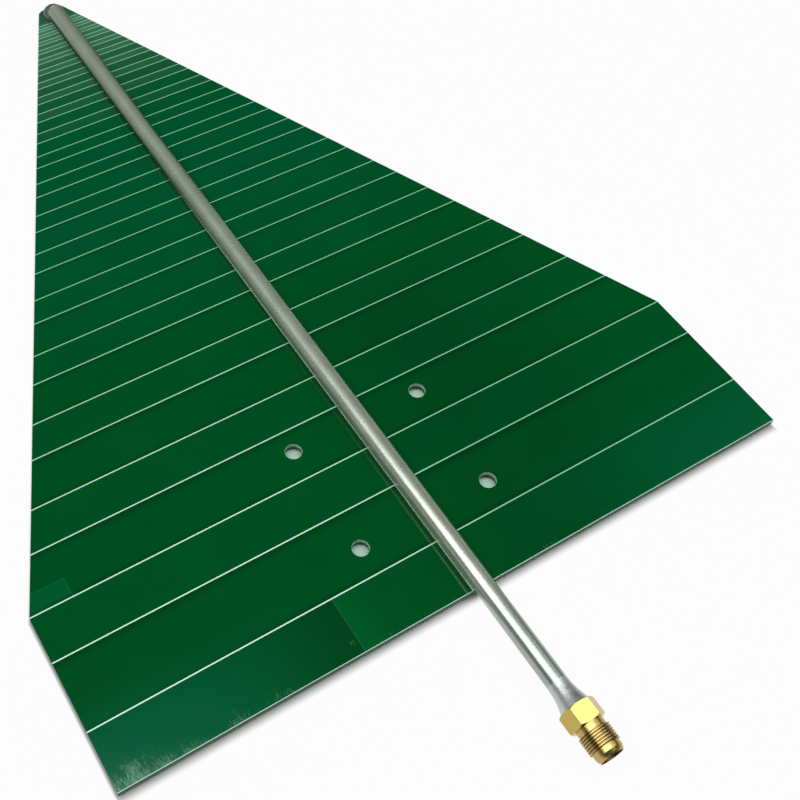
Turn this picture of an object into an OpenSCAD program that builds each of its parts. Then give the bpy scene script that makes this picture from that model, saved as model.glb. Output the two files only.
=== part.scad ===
// Printed log-periodic antenna: a green board with a toothed dipole pattern on both faces,
// fed by a rigid coax that runs along its middle from a threaded jack behind it to the tip.
// Millimetres. The origin is the middle of the four mounting holes, on the board's underside.
// +Y points along the boom to the narrow tip, +Z up to the face that carries the coax.

/* [Board] */
// Width across the parallel rear part
board_w = 150; // [130:1:170]
// Width of the cut-off tip, before it is rounded
tip_w = 5.8; // [5.2:0.1:8]
// Radius of the rounded tip
tip_nose_r = 6; // [4:0.1:8]
// Thickness of the bare glass-epoxy laminate
laminate_t = 1.5; // [0.8:0.1:2.4]
// Thickness of each copper foil
copper_t = 0.035; // [0.035:0.005:0.105]
// Thickness of the solder mask over the copper
mask_t = 0.025; // [0.02:0.005:0.06]
// Distance from the middle of the holes to the rear edge
rear_overhang = 30.6; // [26:0.1:36]
// Distance from the middle of the holes to the tip
tip_reach = 165; // [160:0.1:167]

/* [Mounting holes] */
// Spacing of the holes across the board
hole_dx = 30; // [20:0.5:50]
// Spacing of the holes along the board
hole_dy = 25; // [16:0.5:30]
// Diameter of the mounting holes
hole_d = 3.5; // [3.2:0.1:4.5]

/* [Log-periodic pattern] */
// Distance from the tip to the point that all teeth scale about
apex_past_tip = 8.9; // [8:0.1:11]
// Scale from one cell to the next
tau = 0.8781; // [0.87:0.0001:0.882]
// Share of each cell's step that its wide tooth takes
wide_share = 0.556; // [0.5:0.001:0.6]
// Width of the tooth along the rear edge, up to the rearmost gap
rear_tooth_w = 12; // [10:0.1:14]
// How far the rearmost gap lies behind its place in the series
rear_gap_shift = 1.1; // [0:0.1:2]
// Width of the bare gap between teeth
tooth_gap = 0.32; // [0.2:0.01:0.4]
// Copper kept back from the board's edges
edge_gap = 0.3; // [0.2:0.05:0.6]
// Solder mask kept back from the mounting holes
mask_hole_gap = 0.2; // [0.2:0.05:0.3]
// Copper kept back from the mounting holes
copper_hole_gap = 0.4; // [0.35:0.05:0.8]
// Width of the feeder strip under the coax
feeder_w = 3.4; // [2.8:0.1:4]
// Length of the short tooth along the rear edge, from the middle line
rear_tooth_len = 25.4; // [20:0.1:40]
// Width of the loading patch at the end of the longest wide tooth
end_patch_w = 8.7; // [5:0.1:12]
// Height of the loading patch
end_patch_h = 4.1; // [2:0.1:6]

/* [Coax] */
// Outer diameter of the coax tube
tube_d = 4.1; // [3.6:0.1:4.2]
// Wall of the coax tube
tube_wall = 0.3; // [0.2:0.05:0.5]
// Diameter of the centre conductor
centre_d = 0.92; // [0.8:0.02:1]
// Gap from the end of the coax tube to the tip
tube_setback = 5; // [4.8:0.1:5.2]
// Length of insulation left standing past the tube's end
bared_len = 0.5; // [0.3:0.1:0.8]
// Radius of the bend where the centre conductor turns down
centre_bend_r = 0.9; // [0.8:0.05:1.2]
// Coax showing between the rear edge and the jack's solder cone
tail_len = 23.9; // [15:0.1:40]

/* [Solder] */
// Height of the seam's fillets against the tube
seam_h = 0.7; // [0.4:0.05:0.8]
// Width of the tinned pad at the tip
tip_pad_w = 5.6; // [5:0.1:6]
// Least length of that pad, which starts at the last gap
tip_pad_len = 5.9; // [5.6:0.1:7]
// Radius of the mound at the coax's end, where it meets the pad
tip_mound_r = 3; // [2.9:0.05:3.1]
// Height of that mound above the pad
tip_mound_h = 2.7; // [2.65:0.05:2.9]
// Radius of the joint under the tip
joint_r = 1.6; // [1.3:0.05:1.9]
// Height of the joint under the tip
joint_h = 0.5; // [0.4:0.05:0.8]
// Diameter of the feed hole's copper lining
via_d = 1.3; // [1.2:0.02:1.4]
// Wall of that lining
via_wall = 0.1; // [0.06:0.02:0.1]
// Length of the solder cone behind the jack
cone_len = 3.7; // [3:0.1:5]
// Largest radius of the solder cone
cone_r = 3; // [2.6:0.05:3.1]

/* [Jack] */
// Width of the hexagon across its flats
hex_af = 6.5; // [6.4:0.1:8]
// Length of the hexagon
hex_len = 3.7; // [2.5:0.1:5]
// Lean of the hexagon's top flat to the left, in degrees
hex_roll = 6.4; // [-15:0.1:15]
// Diameter of the threaded part
thread_d = 6.2; // [6.1:0.05:6.35]
// Length of the threaded part
thread_len = 3.2; // [2.5:0.1:6]
// Diameter of the plain neck and end ring
neck_d = 5.5; // [5.4:0.05:5.6]
// Length of the neck between hexagon and thread
neck_len = 1.3; // [0.8:0.1:2]
// Length of the plain end ring
ring_len = 1.9; // [1.2:0.1:2.5]
// Chamfer on the hexagon and the end ring
jack_chamfer = 0.45; // [0.2:0.05:0.5]
// Diameter of the open front
front_bore_d = 4.6; // [4.4:0.05:4.7]
// Depth of the open front, down to the insulator
front_bore_depth = 1.9; // [1.5:0.05:2.5]
// Diameter of the insulator
insulator_d = 4.1; // [3.8:0.05:4.2]
// Depth that the coax tube enters the jack
tube_entry = 2.3; // [1.5:0.1:2.5]
// Diameter of the centre contact
contact_d = 1.27; // [1.2:0.01:1.4]
// Diameter of the contact's socket
socket_d = 0.94; // [0.88:0.01:0.98]
// Depth of the contact's socket
socket_depth = 2.4; // [1.5:0.1:2.6]
// Width of the slots in the contact
slot_w = 0.12; // [0.08:0.01:0.15]
// Radial room between pieces that press or solder together
fit_clear = 0.02; // [0.01:0.005:0.03]

/* [Hidden] */
$fn = 96;
eps = 0.01;

// Levels of the laminate, the foils and the mask, counted up from the underside
film_t = copper_t + mask_t;
laminate_z = film_t;
top_foil_z = laminate_z + laminate_t;
board_t = laminate_t + 2 * film_t;

// Ends and sides of the board
rear_y = -rear_overhang;
tip_y = tip_reach;
half_w = board_w / 2;

// Series of gaps: every distance from the apex is tau times the one a cell before it
apex_y = tip_y + apex_past_tip;
rear_gap_y = rear_y + rear_tooth_w;
first_cell_d = apex_y - rear_gap_y - rear_gap_shift;
last_step = ln((apex_past_tip + tip_pad_len) / first_cell_d) / ln(tau);
cells = 1 + floor(last_step - wide_share);
pad_y = gap_y(cells - 1 + wide_share) + tooth_gap / 2;

// Straight sides from the shoulder, on the second cell's gap, to the tip
shoulder_y = gap_y(1);
taper = (half_w - tip_w / 2) / (tip_y - shoulder_y);
taper_sec = sqrt(1 + taper * taper);

// Coax
tube_r = tube_d / 2;
dielectric_r = tube_r - tube_wall;
axis_z = board_t + tube_r;
tube_tip_y = tip_y - tube_setback;
centre_turn_y = tube_tip_y + bared_len + fit_clear;
feed_y = centre_turn_y + centre_bend_r;
seam_tip_y = pad_y - tooth_gap;
foot_w = feeder_w - 2 * fit_clear;

// Jack, along -Y from the solder cone to its open front
hex_rear_y = rear_y - tail_len - cone_len;
hex_front_y = hex_rear_y - hex_len;
thread_rear_y = hex_front_y - neck_len;
thread_front_y = thread_rear_y - thread_len;
front_y = thread_front_y - ring_len;
insulator_front_y = front_y + front_bore_depth;
insulator_rear_y = hex_rear_y - tube_entry;
hex_corner_d = hex_af / cos(30);

// Solder
tip_mound_y = tip_y - edge_gap - tip_mound_r;
mound_sphere_r = (tip_mound_r * tip_mound_r + tip_mound_h * tip_mound_h) / (2 * tip_mound_h);
centre_end_z = -joint_h / 2;
joint_sphere_r = (joint_r * joint_r + joint_h * joint_h) / (2 * joint_h);
cone_rise = cone_r - tube_r;
cone_arc_r = (cone_len * cone_len + cone_rise * cone_rise) / (2 * cone_rise);

// Place of a gap: whole steps start a wide tooth, and wide_share further on starts a narrow one
function gap_y(step) = apex_y - first_cell_d * pow(tau, step);

// The board's outline, set in by a distance all round
function outline(inset) =
    let (
        side = half_w - inset,
        shoulder = shoulder_y + inset * (1 - taper_sec) / taper,
        tip = tip_y - inset,
        tip_half = half_w - taper * (tip - shoulder_y) - inset * taper_sec
    )
    [
        [-side, rear_y + inset], [side, rear_y + inset], [side, shoulder],
        [tip_half, tip], [-tip_half, tip], [-side, shoulder]
    ];

// A plate of the board's shape with a rounded tip
module board_plate(z, thickness, inset) {
    nose_r = tip_nose_r - inset;
    translate([0, 0, z])
        linear_extrude(height = thickness)
            intersection() {
                polygon(outline(inset));
                union() {
                    translate([-half_w, rear_y])
                        square([board_w, tip_y - tip_nose_r - rear_y]);
                    translate([0, tip_y - tip_nose_r])
                        circle(r = nose_r);
                }
            }
}

// Round bars at the four mounting holes
module at_mounting_holes(d, z, h) {
    for (x = [-hole_dx / 2, hole_dx / 2], y = [-hole_dy / 2, hole_dy / 2])
        translate([x, y, z])
            cylinder(d = d, h = h);
}

// A bar across one half of the board: side is -1 for left or 1 for right
module tooth_bar(side, from_y, to_y, z, reach) {
    translate([side < 0 ? -reach : 0, from_y, z])
        cube([reach, to_y - from_y, copper_t]);
}

// One face's teeth: wide teeth on one side, narrow teeth on the other, and the feeder strip.
// The first narrow tooth lies along the rear edge, before the first cell.
module foil_teeth(wide_side, z) {
    half_gap = tooth_gap / 2;
    tooth_bar(-wide_side, rear_y, rear_gap_y - half_gap, z, wide_side > 0 ? rear_tooth_len : half_w);
    tooth_bar(wide_side, rear_gap_y + half_gap, gap_y(wide_share) - half_gap, z, half_w);
    for (n = [1:cells - 1]) {
        tooth_bar(-wide_side, gap_y(n - 1 + wide_share) + half_gap, gap_y(n) - half_gap, z, half_w);
        tooth_bar(wide_side, gap_y(n) + half_gap, gap_y(n + wide_share) - half_gap, z, half_w);
    }
    translate([-feeder_w / 2, rear_y, z])
        cube([feeder_w, pad_y - rear_y + eps, copper_t]);
    translate([-half_w, pad_y, z])
        cube([board_w, tip_y - pad_y, copper_t]);
}

module foil(wide_side, z) {
    difference() {
        intersection() {
            board_plate(z, copper_t, edge_gap);
            foil_teeth(wide_side, z);
        }
        at_mounting_holes(hole_d + 2 * copper_hole_gap, z - eps, copper_t + 2 * eps);
        translate([0, feed_y, z - eps])
            cylinder(d = via_d, h = copper_t + 2 * eps);
    }
}

module laminate() {
    color("#b9b98a")
        difference() {
            board_plate(laminate_z, laminate_t, 0);
            at_mounting_holes(hole_d, 0, board_t);
            translate([0, feed_y, 0])
                cylinder(d = via_d, h = board_t);
        }
}

module top_copper() {
    color("#b87333")
        foil(1, top_foil_z);
}

module bottom_copper() {
    color("#b87333")
        foil(-1, laminate_z - copper_t);
}

// Loading patch on the top face, at the left end of the longest wide tooth
module end_patch() {
    from_y = shoulder_y + tooth_gap / 2;
    color("#b87333")
        intersection() {
            board_plate(top_foil_z, copper_t, edge_gap);
            translate([-half_w, from_y, top_foil_z])
                cube([end_patch_w, end_patch_h, copper_t]);
        }
}

// Outer part of the rear band on the underside, past the end of the short rear tooth
module rear_patch() {
    to_y = rear_gap_y - tooth_gap / 2;
    color("#b87333")
        intersection() {
            board_plate(laminate_z - copper_t, copper_t, edge_gap);
            translate([-half_w, rear_y, laminate_z - copper_t])
                cube([half_w - rear_tooth_len, to_y - rear_y, copper_t]);
        }
}

// The mask fills the gaps between the teeth and leaves the feeder and the tip pad bare
module top_mask() {
    color("#00522a")
        difference() {
            board_plate(top_foil_z, film_t, 0);
            top_copper();
            end_patch();
            at_mounting_holes(hole_d + 2 * mask_hole_gap, 0, board_t + eps);
            translate([-feeder_w / 2, rear_y - eps, top_foil_z - eps])
                cube([feeder_w, tip_y - rear_y, film_t + 2 * eps]);
            translate([-tip_pad_w / 2, pad_y, top_foil_z - eps])
                cube([tip_pad_w, tip_y - pad_y + eps, film_t + 2 * eps]);
        }
}

module bottom_mask() {
    color("#00522a")
        difference() {
            board_plate(0, film_t, 0);
            bottom_copper();
            rear_patch();
            at_mounting_holes(hole_d + 2 * mask_hole_gap, -eps, board_t);
            translate([0, feed_y, -eps])
                cylinder(r = joint_r, h = film_t + 2 * eps);
        }
}

// A round bar along the coax's axis between two places on Y
module along_axis(r, from_y, to_y) {
    translate([0, from_y, axis_z])
        rotate([-90, 0, 0])
            cylinder(r = r, h = to_y - from_y);
}

module coax_tube() {
    color("#a7a698")
        difference() {
            along_axis(tube_r, insulator_rear_y, tube_tip_y);
            along_axis(dielectric_r, insulator_rear_y - eps, tube_tip_y + eps);
        }
}

module coax_dielectric() {
    color("#f2f0e8")
        difference() {
            along_axis(dielectric_r - fit_clear, insulator_rear_y, tube_tip_y + bared_len);
            along_axis(centre_d / 2 + fit_clear, insulator_rear_y - eps, tube_tip_y + bared_len + eps);
        }
}

// The centre conductor runs into the jack's contact, and turns down through the board at the tip
module coax_centre() {
    color("#c9c4b4") {
        along_axis(centre_d / 2, insulator_front_y + socket_depth + fit_clear, centre_turn_y);
        translate([0, centre_turn_y, axis_z - centre_bend_r])
            rotate([90, 0, 90])
                rotate_extrude(angle = 90)
                    translate([centre_bend_r, 0])
                        circle(d = centre_d);
        translate([0, feed_y, centre_end_z])
            cylinder(d = centre_d, h = axis_z - centre_bend_r - centre_end_z);
    }
}

// Fillets that hold the tube down on the feeder strip
module solder_seam() {
    seam_z = top_foil_z + copper_t;
    seam_top_x = sqrt(tube_r * tube_r - (tube_r - seam_h) * (tube_r - seam_h));
    color("#c4c6c2")
        translate([0, seam_tip_y, seam_z])
            rotate([90, 0, 0])
                linear_extrude(height = seam_tip_y - rear_y - edge_gap)
                    difference() {
                        polygon([
                            [-foot_w / 2, 0], [foot_w / 2, 0],
                            [seam_top_x, seam_h + mask_t], [-seam_top_x, seam_h + mask_t]
                        ]);
                        translate([0, axis_z - seam_z])
                            circle(r = tube_r);
                    }
}

// Mound of solder against the coax's end, on the tinned pad
module tip_solder() {
    pad_z = top_foil_z + copper_t;
    color("#c4c6c2")
        difference() {
            intersection() {
                translate([0, tip_mound_y, pad_z + tip_mound_h - mound_sphere_r])
                    sphere(r = mound_sphere_r);
                translate([-tip_pad_w / 2 + fit_clear, pad_y, pad_z])
                    cube([tip_pad_w - 2 * fit_clear, tip_y - pad_y, 2 * tube_d]);
            }
            along_axis(tube_r, pad_y, tube_tip_y);
            along_axis(dielectric_r, tube_tip_y - eps, tube_tip_y + bared_len);
            coax_centre();
        }
}

// Joint on the underside, where the centre conductor ends in the mask's opening
module tip_joint() {
    color("#c4c6c2")
        difference() {
            union() {
                intersection() {
                    translate([0, feed_y, joint_sphere_r - joint_h])
                        sphere(r = joint_sphere_r);
                    translate([-joint_r, feed_y - joint_r, -joint_h])
                        cube([2 * joint_r, 2 * joint_r, joint_h]);
                }
                translate([0, feed_y, -eps])
                    cylinder(r = joint_r - fit_clear, h = mask_t + eps);
            }
            coax_centre();
        }
}

// Copper lining of the feed hole
module feed_via() {
    color("#b87333")
        translate([0, feed_y, laminate_z - copper_t])
            difference() {
                cylinder(d = via_d, h = laminate_t + 2 * copper_t);
                translate([0, 0, -eps])
                    cylinder(d = via_d - 2 * via_wall, h = laminate_t + 2 * copper_t + 2 * eps);
            }
}

// Hollow cone of solder between the tube and the jack
module jack_solder() {
    color("#b9bcba")
        translate([0, hex_rear_y, axis_z])
            rotate([-90, 0, 0])
                rotate_extrude()
                    difference() {
                        translate([tube_r, 0])
                            square([cone_rise, cone_len]);
                        translate([tube_r + cone_arc_r, cone_len])
                            circle(r = cone_arc_r, $fn = 180);
                    }
}

// Hexagon with both ends chamfered
module jack_hex() {
    translate([0, hex_front_y, axis_z])
        rotate([-90, 0, 0])
            intersection() {
                rotate([0, 0, -hex_roll])
                    cylinder(d = hex_corner_d, h = hex_len, $fn = 6);
                rotate_extrude()
                    polygon([
                        [0, 0], [hex_corner_d / 2 - jack_chamfer, 0],
                        [hex_corner_d / 2, jack_chamfer], [hex_corner_d / 2, hex_len - jack_chamfer],
                        [hex_corner_d / 2 - jack_chamfer, hex_len], [0, hex_len]
                    ]);
            }
}

// Turned barrel: neck, threaded part and chamfered end ring
module jack_barrel() {
    translate([0, front_y, axis_z])
        rotate([-90, 0, 0])
            rotate_extrude()
                polygon([
                    [0, 0], [neck_d / 2 - jack_chamfer, 0], [neck_d / 2, jack_chamfer],
                    [neck_d / 2, ring_len], [thread_d / 2, ring_len],
                    [thread_d / 2, ring_len + thread_len], [neck_d / 2, ring_len + thread_len],
                    [neck_d / 2, hex_front_y - front_y + eps], [0, hex_front_y - front_y + eps]
                ]);
}

module jack_body() {
    color("#d9b44a")
        difference() {
            union() {
                jack_hex();
                jack_barrel();
            }
            along_axis(front_bore_d / 2, front_y - eps, insulator_front_y);
            along_axis(insulator_d / 2, insulator_front_y - eps, insulator_rear_y + eps);
            along_axis(tube_r + fit_clear, insulator_rear_y, hex_rear_y + eps);
        }
}

module jack_insulator() {
    color("#f2f0e8")
        difference() {
            along_axis(insulator_d / 2 - fit_clear, insulator_front_y, insulator_rear_y);
            along_axis(contact_d / 2 + fit_clear, insulator_front_y - eps, insulator_rear_y + eps);
        }
}

// Slotted socket in front, and a blind bore behind that takes the centre conductor
module jack_contact() {
    color("#d9b44a")
        difference() {
            along_axis(contact_d / 2, insulator_front_y, insulator_rear_y);
            along_axis(socket_d / 2, insulator_front_y - eps, insulator_front_y + socket_depth);
            along_axis(centre_d / 2 + fit_clear, insulator_front_y + socket_depth, insulator_rear_y + eps);
            for (turn = [0, 90])
                translate([0, insulator_front_y, axis_z])
                    rotate([0, turn, 0])
                        translate([-contact_d, -eps, -slot_w / 2])
                            cube([2 * contact_d, socket_depth / 2, slot_w]);
        }
}

laminate();
top_copper();
bottom_copper();
end_patch();
rear_patch();
top_mask();
bottom_mask();
coax_tube();
coax_dielectric();
coax_centre();
solder_seam();
tip_solder();
tip_joint();
feed_via();
jack_solder();
jack_body();
jack_insulator();
jack_contact();
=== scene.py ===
import math

import bpy
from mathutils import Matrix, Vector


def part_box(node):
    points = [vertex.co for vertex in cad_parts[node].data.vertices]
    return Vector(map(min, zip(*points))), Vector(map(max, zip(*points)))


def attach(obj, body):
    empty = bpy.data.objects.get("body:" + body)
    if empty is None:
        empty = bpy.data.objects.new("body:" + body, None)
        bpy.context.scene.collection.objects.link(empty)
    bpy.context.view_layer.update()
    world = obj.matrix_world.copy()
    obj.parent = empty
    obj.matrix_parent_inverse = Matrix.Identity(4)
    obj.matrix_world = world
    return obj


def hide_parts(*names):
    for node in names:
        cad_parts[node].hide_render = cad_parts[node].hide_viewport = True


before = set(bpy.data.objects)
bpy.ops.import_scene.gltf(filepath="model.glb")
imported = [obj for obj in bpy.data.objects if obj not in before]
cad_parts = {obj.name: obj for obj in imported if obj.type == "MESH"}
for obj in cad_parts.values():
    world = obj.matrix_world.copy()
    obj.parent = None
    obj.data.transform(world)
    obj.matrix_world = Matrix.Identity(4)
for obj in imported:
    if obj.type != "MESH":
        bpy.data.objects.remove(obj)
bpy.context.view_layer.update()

bl_info = {
    "name": "Log-periodic antenna",
    "version": (1, 0, 0),
    "blender": (4, 5, 0),
    "location": "3D View > Sidebar > Antenna",
    "description": "Models the mask films, coax, solder and jack of a printed log-periodic antenna",
    "category": "Add Mesh",
}

MM = 0.001
# Planes and points closer than these count as one
FINE = 0.001 * MM
MERGE = 0.0005 * MM
# Normals of the planes that cut across the boom and along it
ACROSS, ALONG = (0, 1, 0), (1, 0, 0)
# Turn that lays an upright primitive along the coax
LYING = (math.pi / 2, 0, 0)
# Sides of a round piece
SIDES = 96
# Inputs of the node that mixes two colours
SHARE, BASE, OVER = 0, 6, 7
# Index of refraction of the cured mask
MASK_IOR = 1.42

# Boxes of the solids that the new pieces follow
board_low, board_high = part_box("laminate")
mask_low, mask_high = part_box("top_mask")
under_low, under_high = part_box("bottom_mask")
tube_low, tube_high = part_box("coax_tube")
mound_low, mound_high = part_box("tip_solder")
joint_low, joint_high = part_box("tip_joint")
cone_low, cone_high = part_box("jack_solder")
body_low, body_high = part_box("jack_body")
insulator_low, insulator_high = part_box("jack_insulator")

half_w = board_high.x
rear_y = board_low.y
tip_y = board_high.y
tube_r = tube_high.x
axis_z = (tube_low.z + tube_high.z) / 2
feed_y = (joint_low.y + joint_high.y) / 2


def linear(code):
    """An sRGB hex colour as linear red, green and blue."""
    channels = [int(code[i:i + 2], 16) / 255 for i in (1, 3, 5)]
    return [c / 12.92 if c <= 0.04045 else ((c + 0.055) / 1.055) ** 2.4 for c in channels]


def length(name, description, mm):
    """The property of a size, given in millimetres."""
    return bpy.props.FloatProperty(
        name=name, description=description, default=mm * MM, unit="LENGTH", precision=5)


def colour(name, description, code):
    """The property of a colour, given as sRGB hex."""
    return bpy.props.FloatVectorProperty(
        name=name, description=description, default=linear(code), subtype="COLOR", min=0, max=1)


class AntennaPattern(bpy.types.PropertyGroup):
    """Sizes of the toothed pattern and the openings in the mask."""

    apex_past_tip: length("Apex past tip", "Distance from the tip to the point the teeth scale about", 8.9)
    tau: bpy.props.FloatProperty(
        name="Scale", description="Scale from one cell to the next", default=0.8781, subtype="FACTOR",
        precision=4)
    wide_share: bpy.props.FloatProperty(
        name="Wide share", description="Share of each cell's step that its wide tooth takes",
        default=0.556, subtype="FACTOR")
    rear_tooth_w: length("Rear tooth", "Width of the tooth along the rear edge", 12)
    rear_gap_shift: length(
        "Rear gap shift", "How far the rearmost gap lies behind its place in the series", 1.1)
    tooth_gap: length("Tooth gap", "Width of the bare gap between teeth", 0.25)
    rear_glint_w: length("Rear glint", "Width of the bright line along the rear edge", 0.12)
    cells: bpy.props.IntProperty(name="Cells", description="Number of cells", default=20)
    tip_half_w: length("Tip half width", "Half the width of the cut-off tip", 2.9)
    nose_r: length("Nose radius", "Radius of the rounded tip", 6)
    opening_w: length(
        "Mask opening", "Width of the tinned strip that the mask leaves bare under the coax", 3.4)
    tip_pad_w: length("Tip pad", "Width of the tinned pad at the tip", 5.6)
    rear_tooth_len: length("Rear tooth length", "Length of the short tooth along the rear edge", 25.4)
    end_patch_w: length("Loading patch width", "Width of the patch at the end of the longest wide tooth", 8.7)
    end_patch_h: length("Loading patch height", "Height of that patch", 4.1)
    # Painted shade along the edges of the wide teeth, scaled down from one cell to the next
    upper_shade_w: length(
        "Far edge shade", "Width of the darker film along the far edge of the longest wide tooth", 2)
    lower_shade_w: length("Near edge shade", "Width of the darker film along its near edge", 1.2)
    foil_edge_w: length("Foil edge", "Width of the thin mask over the edge of a patch of foil", 0.1)
    hole_dx: length("Hole spacing across", "Spacing of the mounting holes across the board", 30)
    hole_dy: length("Hole spacing along", "Spacing of the mounting holes along the board", 25)
    mask_hole_r: length("Mask hole radius", "Radius of the mask's opening at a mounting hole", 1.78)
    tip_mound_r: length("Tip mound", "Radius of the solder mound at the tip, where it meets the pad", 3)


class AntennaJack(bpy.types.PropertyGroup):
    """Sizes of the threaded jack."""

    hex_af: length("Across flats", "Width of the hexagon across its flats", 6.5)
    hex_roll: bpy.props.FloatProperty(
        name="Hexagon lean", description="Lean of the hexagon's top flat to the left",
        default=math.radians(6.4), subtype="ANGLE")
    hex_len: length("Hexagon length", "Length of the hexagon", 3.7)
    neck_d: length("Neck diameter", "Diameter of the plain neck and end ring", 5.5)
    neck_len: length("Neck length", "Length of the neck between hexagon and thread", 1.3)
    thread_d: length("Thread diameter", "Diameter over the crests of the thread", 6.2)
    thread_len: length("Thread length", "Length of the threaded part", 3.2)
    thread_pitch: length("Thread pitch", "Distance from one crest to the next", 0.5)
    thread_depth: length("Thread depth", "Depth of the thread's groove", 0.36)
    chamfer: length("Chamfer", "Chamfer on the hexagon and the end ring", 0.45)
    front_bore_d: length("Front bore", "Diameter of the open front", 4.6)


class AntennaColours(bpy.types.PropertyGroup):
    """Colours of the finishes."""

    wide_mask: colour("Mask on wide teeth", "Solder mask over the wide teeth, at the rear", "#005121")
    # Painted sheen: the mask near the tip mirrors a pale far room
    wide_mask_tip_sheen: colour("Wide teeth at the tip", "Solder mask over the wide teeth, near the tip", "#507e65")
    narrow_mask: colour("Mask on narrow teeth", "Solder mask over the narrow teeth, at the rear", "#005223")
    # Painted sheen near the tip, as on the wide teeth
    narrow_mask_tip_sheen: colour(
        "Narrow teeth at the tip", "Solder mask over the narrow teeth, near the tip", "#58846c")
    middle_mask: colour("Mask along the middle", "Solder mask halfway along the board", "#005630")
    patch_mask: colour(
        "Mask on the loading patch", "Thinner solder mask over the loading patch", "#005d2e")
    foil_edge_mask: colour(
        "Mask on foil edges", "Thin solder mask over the edges of the loading patch", "#1c7047")
    # Painted glint along the top of the rear edge
    rear_glint: colour("Rear edge", "Chipped edge of the mask along the rear edge", "#c4ecd6")
    # Painted light: the table's light through the gaps, with a painted glint at the rear left
    glinting_gap_mask: colour(
        "Mask on gaps", "Pale laminate through the mask between teeth, at the rear left", "#dcfff0")
    gap_mask_dim: colour(
        "Dim gaps", "Pale laminate through the mask between teeth, at the right and far", "#7ecba1")
    # Painted sheen: the rear corners of the mask mirror a paler part of the room
    painted_sheen_mask: colour("Cool cast", "Solder mask at the rear corners, where it is thin", "#005e3d")
    scuffed_mask: colour("Scuffs", "Scuffed solder mask at the rear left corner", "#6fae90")
    laminate: colour("Laminate", "Sawn edge of the glass-epoxy board", "#4f6b58")
    drilled_laminate: colour(
        "Drilled laminate", "Pale glass fibre on the walls of the mounting holes", "#b6d8c1")
    copper: colour("Copper", "Bare copper foil", "#d98f63")
    tube: colour("Coax tube", "Dull drawn tube along the board", "#9fae9a")
    tinned_tube: colour("Tinned tube", "Tinned tube along the rear of the board", "#cfdbc8")
    tail: colour("Tail", "Tinned tube behind the board, cooler in tone", "#aab5ac")
    solder: colour("Solder", "Solder of the cone and of the joint under the tip", "#c6cccb")
    dull_solder: colour("Dull solder", "Solder at the tip, under flux", "#74877a")
    # Painted shade on the far part of the strip, and the painted reflection of the board on the tube's right
    # flank there
    shade_and_reflection_tone: colour(
        "Stained solder", "Flux-stained solder under the far part of the coax", "#2c4a38")
    # Pale solder with a painted highlight: the bright line beside the near part of the coax
    pale_solder_highlight: colour("Strip solder", "Solder beside the near part of the coax", "#d0e9d7")
    # Darker brass down in the thread's grooves
    groove_tone: colour("Groove dirt", "Brown dirt in the thread's grooves", "#70521a")
    bore_brass: colour("Bore brass", "Dull brass inside the jack's open front", "#82764a")
    thread_brass: colour("Thread brass", "Browned brass of the jack's threaded barrel", "#bda465")
    brass: colour("Gilt brass", "Plated brass of the jack", "#bfaa5c")
    insulation: colour("Insulation", "White fluoropolymer of the coax and the jack", "#efeee6")
    table: colour("Table", "White table", "#bdbdbd")
    shaded_table: colour("Table under the board", "Table seen through the mounting holes", "#b2d2c1")


def feed(node, inputs):
    """Feeds a node's inputs: each takes a value, a socket, or another node by its first live output."""
    for key, source in inputs.items():
        if isinstance(source, bpy.types.Node):
            source = next(output for output in source.outputs if output.enabled)
        if isinstance(source, bpy.types.NodeSocket):
            node.id_data.links.new(source, node.inputs[key])
        else:
            node.inputs[key].default_value = source


def add(owner, kind, inputs=None, **settings):
    """Adds one node to a material or a world, with its own settings and what feeds its inputs."""
    node = owner.node_tree.nodes.new("ShaderNode" + kind)
    for key, value in settings.items():
        setattr(node, key, value)
    feed(node, inputs or {})
    return node


def blank_finish(name):
    """A new material and its shader."""
    material = bpy.data.materials.new(name)
    material.use_nodes = True
    material.node_tree.nodes.clear()
    shader = add(material, "BsdfPrincipled")
    add(material, "OutputMaterial", {"Surface": shader})
    return material, shader


def shared_finish(make, name, **values):
    """The finish of that name, made once."""
    return bpy.data.materials.get(name) or make(name, **values)


def rgba(tone):
    """A colour as a socket takes it."""
    return (*tone, 1.0)


def mask_tone(material, axes, colours, rear_colour, tip_colour, haze_power):
    """Colour of the mask along the board, with a painted sheen, the reflection of a pale far room, that grows
    towards the pad at the tip.
    """
    towards_middle = add(
        material, "MapRange", {"Value": axes["Y"], "From Min": 45 * MM, "From Max": 88 * MM},
        interpolation_type="SMOOTHSTEP")
    along_board = add(
        material, "Mix",
        {SHARE: towards_middle, BASE: rgba(rear_colour), OVER: rgba(colours.middle_mask)}, data_type="RGBA")
    # Painted sheen, growing towards the tip
    towards_tip = add(material, "MapRange", {"Value": axes["Y"], "From Min": 108 * MM, "From Max": 158 * MM})
    haze = add(material, "Math", {0: towards_tip, 1: haze_power}, operation="POWER")
    before_pad = add(
        material, "MapRange",
        {"Value": axes["Y"], "From Min": 158.5 * MM, "From Max": 160 * MM, "To Min": 1.0, "To Max": 0.3})
    sheen_share = add(material, "Math", {0: haze, 1: before_pad}, operation="MULTIPLY")
    return add(
        material, "Mix", {SHARE: sheen_share, BASE: along_board, OVER: rgba(tip_colour)}, data_type="RGBA")


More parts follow.
